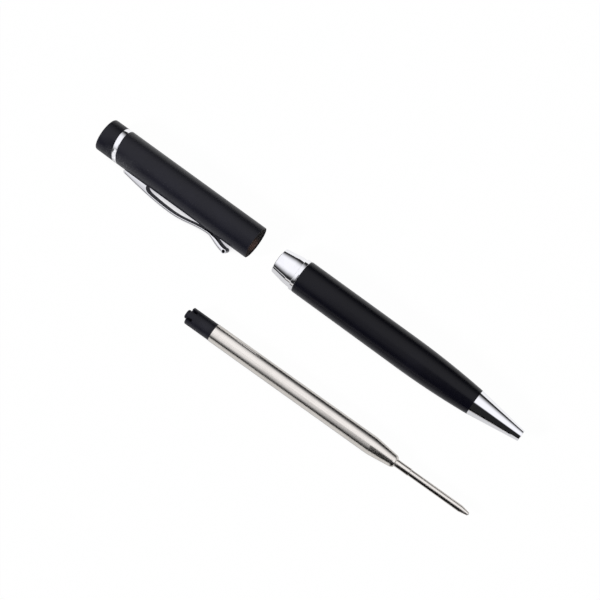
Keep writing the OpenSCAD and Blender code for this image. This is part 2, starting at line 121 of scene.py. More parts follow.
def addStep(tree, value, fromSpan, toSpan=(0.0, 1.0)):
    # one span is led over into another with a soft start and end
    step = addNode(tree, "ShaderNodeMapRange", interpolation_type="SMOOTHSTEP")
    setInputs(step, {"From Min": fromSpan[0], "From Max": fromSpan[1],
                     "To Min": toSpan[0], "To Max": toSpan[1]})
    tree.links.new(value, step.inputs["Value"])
    return step.outputs["Result"]


def splitPlace(tree, place):
    split = addNode(tree, "ShaderNodeSeparateXYZ")
    tree.links.new(place, split.inputs["Vector"])
    return split.outputs["X"], split.outputs["Y"], split.outputs["Z"]


def mixColours(tree, mask, first, second):
    # each colour is a node's output or three plain numbers
    mix = addNode(tree, "ShaderNodeMix", data_type="RGBA")
    for label, colour in (("A", first), ("B", second)):
        if isinstance(colour, tuple):
            mix.inputs[label].default_value = (*colour, 1)
        else:
            tree.links.new(colour, mix.inputs[label])
    tree.links.new(mask, mix.inputs["Factor"])
    return mix.outputs["Result"]


def mixShaders(tree, mask, first, second):
    mix = addNode(tree, "ShaderNodeMixShader")
    tree.links.new(mask, mix.inputs["Fac"])
    tree.links.new(first, mix.inputs[1])
    tree.links.new(second, mix.inputs[2])
    return mix.outputs["Shader"]


effectLook = {"middle": (0.3, 0.7), "grainDetail": 3.0, "lineDetail": 4.0, "patchDetail": 5.0,
              "patchTwist": 0.6, "patch": (0.45, 0.75)}


def startGroup(name, inputs, output):
    group = bpy.data.node_groups.new(name, "ShaderNodeTree")
    for label, kind, value in inputs:
        socket = group.interface.new_socket(name=label, in_out="INPUT", socket_type=kind)
        if value is not None:
            socket.default_value = value
    group.interface.new_socket(name=output, in_out="OUTPUT", socket_type="NodeSocketFloat")
    return group, addNode(group, "NodeGroupInput"), addNode(group, "NodeGroupOutput")


def spreadNoise(group, start, noise):
    # the middle of the noise's range is spread from low to high
    spread = addNode(group, "ShaderNodeMapRange")
    setInputs(spread, {"From Min": effectLook["middle"][0], "From Max": effectLook["middle"][1]})
    group.links.new(noise.outputs[0], spread.inputs["Value"])
    group.links.new(start.outputs["Low"], spread.inputs["To Min"])
    group.links.new(start.outputs["High"], spread.inputs["To Max"])
    return spread.outputs["Result"]


def makeGrain():
    # fine even grain, from low to high
    group, start, end = startGroup("fineGrain", [
        ("Place", "NodeSocketVector", None),
        ("Scale", "NodeSocketFloat", 2000.0),
        ("Low", "NodeSocketFloat", 0.0),
        ("High", "NodeSocketFloat", 1.0),
    ], "Value")
    noise = addNode(group, "ShaderNodeTexNoise")
    setInputs(noise, {"Detail": effectLook["grainDetail"]})
    group.links.new(start.outputs["Place"], noise.inputs["Vector"])
    group.links.new(start.outputs["Scale"], noise.inputs["Scale"])
    group.links.new(spreadNoise(group, start, noise), end.inputs["Value"])
    return group


def makeLines():
    # lines from drawing or turning: noise that is stretched along the tool's way
    group, start, end = startGroup("toolLines", [
        ("Place", "NodeSocketVector", None),
        ("Stretch", "NodeSocketVector", (40.0, 4000.0, 4000.0)),
        ("Low", "NodeSocketFloat", 0.0),
        ("High", "NodeSocketFloat", 1.0),
    ], "Value")
    stretch = addNode(group, "ShaderNodeVectorMath", operation="MULTIPLY")
    noise = addNode(group, "ShaderNodeTexNoise")
    setInputs(noise, {"Scale": 1.0, "Detail": effectLook["lineDetail"]})
    group.links.new(start.outputs["Place"], stretch.inputs[0])
    group.links.new(start.outputs["Stretch"], stretch.inputs[1])
    group.links.new(stretch.outputs["Vector"], noise.inputs["Vector"])
    group.links.new(spreadNoise(group, start, noise), end.inputs["Value"])
    return group


def makeSmudges():
    # soft patches from handling
    group, start, end = startGroup("handling", [
        ("Place", "NodeSocketVector", None),
        ("Scale", "NodeSocketFloat", 120.0),
        ("Amount", "NodeSocketFloat", 1.0),
    ], "Mask")
    noise = addNode(group, "ShaderNodeTexNoise")
    setInputs(noise, {"Detail": effectLook["patchDetail"], "Distortion": effectLook["patchTwist"]})
    group.links.new(start.outputs["Place"], noise.inputs["Vector"])
    group.links.new(start.outputs["Scale"], noise.inputs["Scale"])
    patch = addStep(group, noise.outputs[0], effectLook["patch"])
    group.links.new(addMath(group, "MULTIPLY", patch, start.outputs["Amount"]), end.inputs["Mask"])
    return group


grainGroup = makeGrain()
linesGroup = makeLines()
smudgeGroup = makeSmudges()
aroundX = (5200.0, 30.0, 30.0)  # lines round the axis, as from a lathe
alongX = (45.0, 3600.0, 3600.0)  # lines along the axis, as from drawing


def startFinish(name):
    finish = bpy.data.materials.new(name)
    finish.use_nodes = True
    tree = finish.node_tree
    coords = addNode(tree, "ShaderNodeTexCoord")
    return finish, tree, tree.nodes["Principled BSDF"], coords.outputs["Object"]


def addEffect(tree, group, place, **values):
    effect = addNode(tree, "ShaderNodeGroup", node_tree=group)
    tree.links.new(place, effect.inputs["Place"])
    setInputs(effect, values)
    return effect.outputs[0]


def addSurface(tree, shader, colour, rough):
    tree.links.new(colour, shader.inputs["Base Color"])
    tree.links.new(rough, shader.inputs["Roughness"])


def addBump(tree, height, shader, strength, distance):
    bump = addNode(tree, "ShaderNodeBump")
    setInputs(bump, {"Strength": strength, "Distance": distance})
    tree.links.new(height, bump.inputs["Height"])
    tree.links.new(bump.outputs["Normal"], shader.inputs["Normal"])


lacquerLook = {
    "upper": {"dark": (0.0048, 0.0048, 0.0085), "pale": (0.0066, 0.0066, 0.0115), "rough": (0.32, 0.40),
              "shine": 0.28},
    "lower": {"dark": (0.0018, 0.0018, 0.0037), "pale": (0.0029, 0.0029, 0.0055), "rough": (0.24, 0.31),
              "shine": 0.205},
}


def makeLacquer(name, look):
    finish, tree, shader, place = startFinish(name)
    low, high = look["rough"]
    handled = addEffect(tree, smudgeGroup, place, Scale=90.0, Amount=0.8)
    rough = addEffect(tree, grainGroup, place, Scale=900.0, Low=low, High=high)
    peel = addEffect(tree, grainGroup, place, Scale=3200.0)
    addSurface(tree, shader, mixColours(tree, handled, look["dark"], look["pale"]), rough)
    setInputs(shader, {"Specular IOR Level": look["shine"]})
    addBump(tree, peel, shader, strength=0.05, distance=0.00002)
    return finish


chromeLook = {"bright": (0.93, 0.93, 0.95), "wornAndSheen": (0.84, 0.845, 0.87), "rough": (0.03, 0.075)}


def makeChrome(name, stretch):
    finish, tree, shader, place = startFinish(name)
    low, high = chromeLook["rough"]
    handled = addEffect(tree, smudgeGroup, place, Scale=260.0, Amount=0.5)
    rough = addEffect(tree, grainGroup, place, Scale=700.0, Low=low, High=high)
    lines = addEffect(tree, linesGroup, place, Stretch=stretch)
    addSurface(tree, shader, mixColours(tree, handled, chromeLook["bright"], chromeLook["wornAndSheen"]), rough)
    setInputs(shader, {"Metallic": 1.0})
    addBump(tree, lines, shader, strength=0.05, distance=0.00001)
    return finish


nickelLook = {"bright": (0.91, 0.87, 0.81), "dull": (0.68, 0.64, 0.59), "rough": (0.16, 0.29),
              "roughLines": (90.0, 2600.0, 2600.0), "lineTone": 0.35}


def makeNickel(name, stretch):
    finish, tree, shader, place = startFinish(name)
    low, high = nickelLook["rough"]
    turned = addNode(tree, "ShaderNodeMapping")
    setInputs(turned, {"Rotation": (0, 0, -refillYaw)})
    tree.links.new(place, turned.inputs["Vector"])
    along = turned.outputs["Vector"]
    lines = addEffect(tree, linesGroup, along, Stretch=stretch)
    rough = addEffect(tree, linesGroup, along, Stretch=nickelLook["roughLines"], Low=low, High=high)
    handled = addEffect(tree, smudgeGroup, place, Scale=140.0, Amount=0.35)
    tone = addMath(tree, "MULTIPLY_ADD", lines, nickelLook["lineTone"], handled)
    addSurface(tree, shader, mixColours(tree, tone, nickelLook["bright"], nickelLook["dull"]), rough)
    setInputs(shader, {"Metallic": 1.0})
    addBump(tree, lines, shader, strength=0.18, distance=0.00001)
    return finish


plasticLook = {
    "plug": {"dark": (0.0060, 0.0060, 0.0095), "pale": (0.011, 0.011, 0.016), "rough": (0.3, 0.42),
             "grain": 1200.0, "shine": 0.24},
    "acetal": {"dark": (0.66, 0.64, 0.58), "pale": (0.72, 0.70, 0.64), "rough": (0.4, 0.5),
               "grain": 1500.0, "shine": 0.45},
    "rubber": {"dark": (0.018, 0.018, 0.018), "pale": (0.032, 0.031, 0.030), "rough": (0.7, 0.85),
               "grain": 2500.0, "shine": 0.45},
    "ink": {"dark": (0.006, 0.008, 0.05), "pale": (0.010, 0.013, 0.08), "rough": (0.08, 0.2),
            "grain": 800.0, "shine": 0.45},
}


def makePlastic(name, look):
    finish, tree, shader, place = startFinish(name)
    low, high = look["rough"]
    handled = addEffect(tree, smudgeGroup, place, Scale=300.0, Amount=1.0)
    rough = addEffect(tree, grainGroup, place, Scale=look["grain"], Low=low, High=high)
    grain = addEffect(tree, grainGroup, place, Scale=look["grain"] * 2)
    addSurface(tree, shader, mixColours(tree, handled, look["dark"], look["pale"]), rough)
    setInputs(shader, {"Specular IOR Level": look["shine"]})
    addBump(tree, grain, shader, strength=0.2, distance=0.00002)
    return finish


metalLook = {
    "brass": {"bright": (0.10, 0.055, 0.036), "dull": (0.045, 0.026, 0.019), "rough": (0.3, 0.48),
              "lines": aroundX},
    # the dark steel is painted shade, for the inside of the clip's roll
    "dark": {"bright": (0.020, 0.020, 0.024), "dull": (0.008, 0.008, 0.010), "rough": (0.5, 0.7),
             "lines": alongX},
    "steel": {"bright": (0.72, 0.72, 0.72), "dull": (0.58, 0.58, 0.59), "rough": (0.18, 0.32),
              "lines": aroundX},
}


def makeMetal(name, look):
    finish, tree, shader, place = startFinish(name)
    low, high = look["rough"]
    handled = addEffect(tree, smudgeGroup, place, Scale=240.0, Amount=0.9)
    lines = addEffect(tree, linesGroup, place, Stretch=look["lines"])
    rough = addEffect(tree, linesGroup, place, Stretch=look["lines"], Low=low, High=high)
    addSurface(tree, shader, mixColours(tree, handled, look["bright"], look["dull"]), rough)
    setInputs(shader, {"Metallic": 1.0})
    addBump(tree, lines, shader, strength=0.15, distance=0.00001)
    return finish


# inside the open end the brass is dull, with a painted reflection: a browner strip along the pen's middle
# line, fading out to the sides
linerLook = {"wornAndSheen": (0.36, 0.23, 0.195), "dull": (0.135, 0.125, 0.125), "strip": (0.0010, 0.0027),
             "rough": (0.45, 0.55), "metal": 0.3}


def makeLinerBrass():
    finish, tree, shader, place = startFinish("linerBrass")
    low, high = linerLook["rough"]
    # painted reflection: browner within 1 mm of the pen's middle line, dull grey beyond 2.7 mm
    aside = addMath(tree, "SUBTRACT", splitPlace(tree, place)[1], penLine.y)
    strip = addStep(tree, addMath(tree, "ABSOLUTE", aside), linerLook["strip"])
    rough = addEffect(tree, linesGroup, place, Stretch=aroundX, Low=low, High=high)
    addSurface(tree, shader, mixColours(tree, strip, linerLook["wornAndSheen"], linerLook["dull"]), rough)
    setInputs(shader, {"Metallic": linerLook["metal"]})
    return finish


upperLacquer = makeLacquer("satinLacquer", lacquerLook["upper"])
lowerLacquer = makeLacquer("deepLacquer", lacquerLook["lower"])
turnedChrome = makeChrome("polishedChrome", aroundX)
pressedChrome = makeChrome("pressedChrome", alongX)
drawnNickel = makeNickel("drawnNickel", alongX)
turnedNickel = makeNickel("turnedNickel", aroundX)
plugPlastic = makePlastic("mouldedPlastic", plasticLook["plug"])
whiteAcetal = makePlastic("acetal", plasticLook["acetal"])
blackRubber = makePlastic("rubber", plasticLook["rubber"])
inkPaste = makePlastic("inkPaste", plasticLook["ink"])
darkBrass = makeMetal("turnedBrass", metalLook["brass"])
linerBrass = makeLinerBrass()
rollShadeSteel = makeMetal("rollShadeSteel", metalLook["dark"])
brightSteel = makeMetal("brightSteel", metalLook["steel"])
print("finishes made")


# modelling helpers, with sizes in mm

weldReach = 1e-7  # in metres, for the first and the last ring of a turned piece
mergeReach = 1e-6  # in metres, for corners left by bevels and cuts
bevelAngle = math.radians(28)
smoothAngle = math.radians(32)
planeSlack = 0.02
fitGap = 0.02  # between pieces that fit into each other


def faceOutwards():
    bpy.ops.mesh.select_all(action="SELECT")
    bpy.ops.mesh.normals_make_consistent(inside=False)


def turnPiece(name, profile, sides=128, filled=False):
    # one ring after the other is extruded along X, from points of place and radius
    bpy.ops.object.select_all(action="DESELECT")
    place, radius = profile[0]
    bpy.ops.mesh.primitive_circle_add(vertices=sides, radius=radius * mm, location=(place * mm, 0, 0),
                                      rotation=(0, math.pi / 2, 0))
    piece = bpy.context.object
    piece.name = name
    bpy.ops.object.transform_apply(location=True, rotation=True, scale=True)
    bpy.ops.object.mode_set(mode="EDIT")
    bpy.ops.mesh.select_mode(type="VERT")
    bpy.ops.mesh.select_all(action="SELECT")
    for (place, radius), (nextPlace, nextRadius) in zip(profile, profile[1:]):
        share = nextRadius / radius
        bpy.ops.mesh.extrude_region_move(TRANSFORM_OT_translate={"value": ((nextPlace - place) * mm, 0, 0)})
        bpy.ops.transform.resize(value=(1, share, share), center_override=(nextPlace * mm, 0, 0))
    bpy.ops.mesh.select_all(action="SELECT")
    bpy.ops.mesh.remove_doubles(threshold=weldReach)
    if filled:
        bpy.ops.mesh.fill_holes(sides=0)
    faceOutwards()
    bpy.ops.object.mode_set(mode="OBJECT")
    return piece


def arcPoints(place, radius, size, start, end, steps=8):
    # points on a rounded edge from one angle to another, whose middle is at place and radius
    angles = [math.radians(start + (end - start) * step / steps) for step in range(steps + 1)]
    return [(place + size * math.cos(angle), radius + size * math.sin(angle)) for angle in angles]


def useModifier(piece, kind, **values):
    bpy.context.view_layer.objects.active = piece
    modifier = piece.modifiers.new(kind.lower(), kind)
    for name, value in values.items():
        setattr(modifier, name, value)
    bpy.ops.object.modifier_apply(modifier=modifier.name)


def useBoolean(piece, other, operation):
    useModifier(piece, "BOOLEAN", operation=operation, solver="EXACT", object=other)
    bpy.data.objects.remove(other)


def mergeClose(piece):
    # corners that fell together in a bevel or a cut become one
    bpy.context.view_layer.objects.active = piece
    bpy.ops.object.mode_set(mode="EDIT")
    bpy.ops.mesh.select_mode(type="VERT")
    bpy.ops.mesh.select_all(action="SELECT")
    bpy.ops.mesh.remove_doubles(threshold=mergeReach)
    bpy.ops.mesh.dissolve_degenerate(threshold=mergeReach)
    faceOutwards()
    bpy.ops.object.mode_set(mode="OBJECT")


def softenEdges(piece, width, segments):
    useModifier(piece, "BEVEL", width=width * mm, segments=segments, limit_method="ANGLE",
                angle_limit=bevelAngle)
    mergeClose(piece)


def putInPlace(piece, place, turn):
    bpy.ops.object.select_all(action="DESELECT")
    piece.select_set(True)
    bpy.context.view_layer.objects.active = piece
    piece.rotation_euler = turn
    piece.location = place
    bpy.ops.object.transform_apply(location=True, rotation=True, scale=True)
    bpy.ops.object.shade_smooth_by_angle(angle=smoothAngle)


def placeOnPen(piece, extraTurn=0.0):
    putInPlace(piece, penPlace, (clipTurn + math.radians(extraTurn), 0, 0))


def dressPiece(piece, node, body, finish):
    piece.data.materials.clear()
    piece.data.materials.append(finish)
    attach(piece, body)
    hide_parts(node)
    print("made", piece.name, "with", len(piece.data.polygons), "faces")


# upper barrel, top ring and cap: the ring leans, and the barrel and the cap are cut to it

leanSize = {"angle": 12.0, "turn": 30.0, "spare": 12.0}  # spare lengths are cut off again
leanSlope = math.tan(math.radians(leanSize["angle"]))


def cutPiece(piece, place, keepFront):
    # a leaning cut right through, which crosses the axis at place
    bpy.context.view_layer.objects.active = piece
    bpy.ops.object.mode_set(mode="EDIT")
    bpy.ops.mesh.select_all(action="SELECT")
    bpy.ops.mesh.bisect(plane_co=(place * mm, 0, 0), plane_no=(1, 0, -leanSlope),
                        clear_inner=keepFront, clear_outer=not keepFront)
    bpy.ops.object.mode_set(mode="OBJECT")


def closeCut(piece, place, solid):
    # the open rim on that cut is filled, or bridged to the inner one
    bpy.ops.object.mode_set(mode="EDIT")
    bpy.ops.mesh.select_mode(type="VERT")
    bpy.ops.mesh.select_all(action="DESELECT")
    bpy.ops.mesh.select_non_manifold(extend=False)
    mesh = bmesh.from_edit_mesh(piece.data)
    for vert in mesh.verts:
        onPlane = abs(vert.co.x / mm - place - leanSlope * vert.co.z / mm) < planeSlack
        vert.select_set(vert.select and onPlane)
    mesh.select_flush_mode()
    bmesh.update_edit_mesh(piece.data)
    bpy.ops.mesh.select_mode(type="EDGE")
    if solid:
        bpy.ops.mesh.edge_face_add()
    else:
        bpy.ops.mesh.bridge_edge_loops()
    faceOutwards()
    bpy.ops.object.mode_set(mode="OBJECT")


upperSize = {"radius": 5.15, "wall": 0.2, "edge": 0.1, "boreEdge": 0.05, "cutEdge": 0.05}
barrelBack, openEnd = endsOf("upper_barrel")
ringFront = barrelBack + upperSize["radius"] * leanSlope


def makeUpperTube():
    size = upperSize
    radius, edge, boreEdge = size["radius"], size["edge"], size["boreEdge"]
    inner = radius - size["wall"]
    back = barrelBack - leanSize["spare"]
    profile = [(back, radius)]
    profile += arcPoints(openEnd - edge, radius - edge, edge, 90, 0)
    profile += [(openEnd, inner + boreEdge), (openEnd - boreEdge, inner), (back, inner)]
    tube = turnPiece("upperTube", profile)
    cutPiece(tube, ringFront, keepFront=True)
    closeCut(tube, ringFront, solid=False)
    softenEdges(tube, size["cutEdge"], segments=2)
    placeOnPen(tube, leanSize["turn"])
    dressPiece(tube, "upper_barrel", "upper_half", upperLacquer)


topRingSize = {"wide": 1.5, "inner": 3.9, "edge": 0.1}
ringRear = ringFront - topRingSize["wide"]


def makeLeaningRing():
    radius, inner = upperSize["radius"], topRingSize["inner"]
    back = ringFront - leanSize["spare"]
    front = ringFront + leanSize["spare"]
    ring = turnPiece("leaningRing", [(back, radius), (front, radius), (front, inner), (back, inner)])
    cutPiece(ring, ringFront, keepFront=False)
    cutPiece(ring, ringRear, keepFront=True)
    closeCut(ring, ringFront, solid=False)
    closeCut(ring, ringRear, solid=False)
    softenEdges(ring, topRingSize["edge"], segments=3)
    placeOnPen(ring, leanSize["turn"])
    dressPiece(ring, "top_ring", "upper_half", turnedChrome)


# a shallow dome, which meets the rounded edge at an angle in degrees
capSize = {"dome": 0.35, "domeSteps": 12, "domeMeets": 170, "rounding": 0.6, "cutEdge": 0.06}
capEnd = endsOf("cap")[0]


def makeEndCap():
    size = capSize
    dome, steps, rounding = size["dome"], size["domeSteps"], size["rounding"]
    radius = upperSize["radius"]
    flat = radius - rounding
    bow = (flat ** 2 + dome ** 2) / (2 * dome)
    profile = []
    for step in range(1, steps + 1):
        across = flat * step / steps
        profile.append((capEnd + bow - math.sqrt(bow ** 2 - across ** 2), across))
    profile += arcPoints(capEnd + dome + rounding, flat, rounding, size["domeMeets"], 90)
    profile += [(ringFront + leanSize["spare"], radius)]
    cap = turnPiece("endCap", profile, filled=True)
    cutPiece(cap, ringRear, keepFront=False)
    closeCut(cap, ringRear, solid=True)
    softenEdges(cap, size["cutEdge"], segments=2)
    placeOnPen(cap, leanSize["turn"])
    dressPiece(cap, "cap", "upper_half", upperLacquer)


makeUpperTube()
makeLeaningRing()
makeEndCap()

# pocket clip, with distances from its tip

clipSize = {"wide": 3.4, "thick": 0.7, "tipThick": 1.3, "swell": 3.2, "foot": 8.4, "sink": 0.9, "heel": 0.75,
            "rise": 2.5, "apex": 20.3, "grip": 7.2, "flare": 2.85, "power": 1.25, "bead": 1.45,
            "beadHole": 1.05, "beadDeep": 0.9, "beadSides": 48, "footGap": 0.12, "gripGap": 0.15,
            "heelRound": 0.6, "outerEdge": 0.5, "innerEdge": 0.14, "footStep": 0.7, "cornerSteps": 10,
            "armSteps": 44, "hollowSides": 192, "spare": 3.0}
clipHeel, clipTip = endsOf("clip")
clipLong = clipTip - clipHeel
footStart = clipLong - clipSize["foot"]
footCorner = clipSize["rise"] - clipSize["thick"]  # the round corner before the foot
armStart = footStart - footCorner
beadRadius = clipSize["bead"] / 2
beadHigh = upperSize["radius"] + clipSize["flare"] - beadRadius
nearBy = 0.01  # what lies this close counts as being there
sharpAngle = math.radians(50)


def clipOuter(along):
    # height of the outer face above the pen's axis
    size, radius = clipSize, upperSize["radius"]
    nearest = radius + size["gripGap"] + size["thick"]
    if along > size["apex"]:
        bow = math.sin(math.pi / 2 * (clipLong - along) / (clipLong - size["apex"]))
        return radius + size["heel"] + (size["rise"] - size["heel"]) * bow
    if along > size["grip"]:
        step = (size["apex"] - along) / (size["apex"] - size["grip"])
        high = radius + size["rise"]
        return (high + nearest) / 2 + (high - nearest) / 2 * math.cos(math.pi * step)
    lift = math.sin(math.pi / 2 * (size["grip"] - along) / size["grip"]) ** size["power"]
    return nearest + (radius + size["flare"] - nearest) * lift


def clipInner(along):
    # height of the inner face, which reaches into the barrel at the foot until that is hollowed
    size, radius = clipSize, upperSize["radius"]
    thick = size["thick"]
    if along < size["grip"]:
        swell = min(1, (size["grip"] - along) / size["swell"])
        thick += (size["tipThick"] - thick) * (1 - math.cos(math.pi * swell)) / 2
    arm = clipOuter(along) - thick
    if along > footStart:
        return radius - size["sink"]
    if along > armStart:
        step = (footStart - along) / footCorner
        return radius + (arm - radius) * math.sqrt(1 - (1 - step) ** 2)
    return arm


def clipStops():
    # the distances at which the strip is drawn on, from the heel to the bead
    footStep, cornerSteps, armSteps = clipSize["footStep"], clipSize["cornerSteps"], clipSize["armSteps"]
    stops = [clipLong - footStep * step for step in range(int((clipLong - footStart) / footStep))]
    stops += [footStart + nearBy / 10]  # the foot is straight up to here
    stops += [footStart - footCorner * (step / cornerSteps) ** 2 for step in range(1, cornerSteps + 1)]
    return stops + [armStart + (beadRadius - armStart) * step / armSteps for step in range(1, armSteps + 1)]


def drawStrip():
    # the strip is left in edit mode
    stops = clipStops()
    along = stops[0]
    top, bottom = clipOuter(along), clipInner(along)
    bpy.ops.object.select_all(action="DESELECT")
    bpy.ops.mesh.primitive_plane_add(size=1, rotation=(0, math.pi / 2, 0),
                                     location=((clipTip - along) * mm, 0, (top + bottom) / 2 * mm))
    clip = bpy.context.object
    clip.name = "pocketClip"
    clip.scale = ((top - bottom) * mm, clipSize["wide"] * mm, 1)
    bpy.ops.object.transform_apply(location=True, rotation=True, scale=True)
    bpy.ops.object.mode_set(mode="EDIT")
    bpy.ops.mesh.select_all(action="SELECT")
    # each step along the bow is as thick as the clip is there
    for nextAlong in stops[1:]:
        nextTop, nextBottom = clipOuter(nextAlong), clipInner(nextAlong)
        way = ((along - nextAlong) * mm, 0, (nextTop + nextBottom - top - bottom) / 2 * mm)
        bpy.ops.mesh.extrude_region_move(TRANSFORM_OT_translate={"value": way})
        bpy.ops.transform.resize(value=(1, 1, (nextTop - nextBottom) / (top - bottom)))
        along, top, bottom = nextAlong, nextTop, nextBottom
    bpy.ops.mesh.select_all(action="SELECT")
    bpy.ops.mesh.fill_holes(sides=0)
    faceOutwards()
    return clip


def edgeEnds(edge):
    return [vert.co / mm for vert in edge.verts]


def acrossHeel(edge):
    first, last = edgeEnds(edge)
    return max(first.x, last.x) < clipHeel + nearBy and abs(first.y - last.y) < nearBy


def onOuterEdge(edge):
    ends = edgeEnds(edge)
    outside = all(end.z > clipOuter(min(clipTip - end.x, clipLong)) - nearBy for end in ends)
    atTip = all(end.x > clipTip - beadRadius - nearBy for end in ends)
    return outside and not atTip and edge.calc_face_angle(0) > sharpAngle


def onInnerEdge(edge):
    ends = edgeEnds(edge)
    inside = all(abs(end.z - clipInner(clipTip - end.x)) < nearBy for end in ends)
    onArm = all(beadRadius + nearBy < clipTip - end.x < armStart - nearBy for end in ends)
    return inside and onArm and edge.calc_face_angle(0) > sharpAngle


def roundStrip(clip):
    # still in edit mode: the heel is rounded across, then the outer and the inner edges are
    bpy.ops.mesh.select_mode(type="EDGE")
    for chosen, width, segments in ((acrossHeel, "heelRound", 6), (onOuterEdge, "outerEdge", 4),
                                    (onInnerEdge, "innerEdge", 4)):
        mesh = bmesh.from_edit_mesh(clip.data)
        for edge in mesh.edges:
            edge.select_set(chosen(edge))
        bmesh.update_edit_mesh(clip.data)
        bpy.ops.mesh.bevel(offset=clipSize[width] * mm, segments=segments, affect="EDGES")
    bpy.ops.object.mode_set(mode="OBJECT")


def hollowFoot(clip):
    # the foot is hollowed to lie on the barrel
    deep = upperSize["radius"] + clipSize["footGap"]
    span = [(clipHeel - clipSize["spare"], deep), (clipHeel + clipSize["foot"] + footCorner, deep)]
    hollow = turnPiece("footHollow", span, sides=clipSize["hollowSides"], filled=True)
    useBoolean(clip, hollow, "DIFFERENCE")


def addRoll(clip):
    # rolled end: a short tube across the tip
    size = clipSize
    bpy.ops.object.select_all(action="DESELECT")
    bpy.ops.mesh.primitive_cylinder_add(vertices=size["beadSides"], radius=beadRadius * mm,
                                        depth=size["wide"] * mm, rotation=(math.pi / 2, 0, 0),
                                        location=((clipTip - beadRadius) * mm, 0, beadHigh * mm))
    bead = bpy.context.object
    bpy.ops.object.transform_apply(location=True, rotation=True, scale=True)
    bpy.ops.object.mode_set(mode="EDIT")
    bpy.ops.mesh.select_mode(type="FACE")
    for side in (-1, 1):
        mesh = bmesh.from_edit_mesh(bead.data)
        for face in mesh.faces:
            face.select_set(round(face.normal.y) == side)
        bmesh.update_edit_mesh(bead.data)
        bpy.ops.mesh.inset(thickness=(beadRadius - size["beadHole"] / 2) * mm)
        inwards = (0, -side * size["beadDeep"] * mm, 0)
        bpy.ops.mesh.extrude_region_move(TRANSFORM_OT_translate={"value": inwards})
    bpy.ops.object.mode_set(mode="OBJECT")
    useBoolean(clip, bead, "UNION")
    mergeClose(clip)


def makeClip():
    clip = drawStrip()
    roundStrip(clip)
    hollowFoot(clip)
    addRoll(clip)
    beadMiddle = Vector((clipTip - beadRadius, 0, beadHigh)) * mm
    holeReach = (clipSize["beadHole"] / 2 + nearBy / 2) * mm
    inRoll = [(face.center - beadMiddle).xz.length < holeReach for face in clip.data.polygons]
    placeOnPen(clip)
    dressPiece(clip, "clip", "clip", pressedChrome)
    # inside the roll the metal is dark and rough: the darkness is painted shade in the hole
    clip.data.materials.append(rollShadeSteel)
    for face, dull in zip(clip.data.polygons, inRoll):
        face.material_index = int(dull)


makeClip()

# lower barrel with its coupling, middle ring and nose

lowerSize = {"radius": 5.15, "topEdge": 0.3, "taper": 24.0, "taperSteps": 30, "front": 3.98,
             "frontEdge": 0.06, "bore": 4.2, "guide": 2.9, "guideLong": 13.0, "funnel": 3.0}
barrelTop, barrelFront = endsOf("lower_barrel")


def makeLowerTube():
    size = lowerSize
    radius, edge, steps = size["radius"], size["topEdge"], size["taperSteps"]
    bore, guide = size["bore"], size["guide"]
    drop = radius - size["front"]
    bow = (size["taper"] ** 2 + drop ** 2) / (2 * drop)
    taperStart = barrelFront - size["taper"]
    guideEnd = barrelFront - size["guideLong"]
    profile = [(barrelTop, bore)]
    profile += arcPoints(barrelTop + edge, radius - edge, edge, 180, 90)
    profile += [((taperStart + barrelTop) / 2, radius)]  # keeps the shading even on the straight part
    for step in range(steps + 1):
        along = (size["taper"] - size["frontEdge"]) * step / steps
        profile.append((taperStart + along, radius - bow + math.sqrt(bow ** 2 - along ** 2)))
    profile += [(barrelFront, size["front"] - size["frontEdge"]), (barrelFront, guide), (guideEnd, guide)]
    profile += [(guideEnd - size["funnel"], bore), (barrelTop, bore)]
    tube = turnPiece("lowerTube", profile)
    placeOnPen(tube)
    dressPiece(tube, "lower_barrel", "lower_half", lowerLacquer)


# the shoulder is a soft bend, given by places along it and how far it drops there
couplingSize = {"radius": 4.7, "straight": 3.2, "tip": 3.92, "bore": 2.9, "lip": 0.12, "boreEdge": 0.05,
                "shoulder": ((-0.35, 0.062), (0.0, 0.012), (0.3, 0.0))}


def makeCoupling():
    size = couplingSize
    radius, bore, boreEdge, lip = size["radius"], size["bore"], size["boreEdge"], size["lip"]
    end, spigotEnd = endsOf("coupling")
    spigot = lowerSize["bore"] - fitGap
    shoulder = barrelTop - size["straight"]
    profile = [(spigotEnd, bore), (end + boreEdge, bore), (end, bore + boreEdge)]
    profile += [(end, size["tip"] - lip), (end + lip, size["tip"])]
    profile += [(shoulder + along, radius - drop) for along, drop in size["shoulder"]]
    profile += [(barrelTop - fitGap, radius), (barrelTop - fitGap, spigot)]
    profile += [(spigotEnd, spigot), (spigotEnd, bore)]
    sleeve = turnPiece("couplingSleeve", profile)
    placeOnPen(sleeve)
    dressPiece(sleeve, "coupling", "lower_half", turnedChrome)


ringSize = {"radius": 5.1, "bore": 4.72, "edge": 0.14, "edgeSteps": 5}


def makeMiddleRing():
    size = ringSize
    edge, steps = size["edge"], size["edgeSteps"]
    back, front = endsOf("centre_ring")
    profile = [(back, size["bore"])]
    profile += arcPoints(back + edge, size["radius"] - edge, edge, 180, 90, steps)
    profile += arcPoints(front - edge, size["radius"] - edge, edge, 90, 0, steps)
    profile += [(front, size["bore"]), (back, size["bore"])]
    ring = turnPiece("middleRing", profile)
    placeOnPen(ring)
    dressPiece(ring, "centre_ring", "lower_half", turnedChrome)


noseSize = {"base": 3.95, "tip": 1.725, "tipEdge": 0.08, "hole": 1.155, "holeEdge": 0.05, "holeLong": 8.0,
            "funnel": 1.0, "spring": 1.83, "steps": 10}


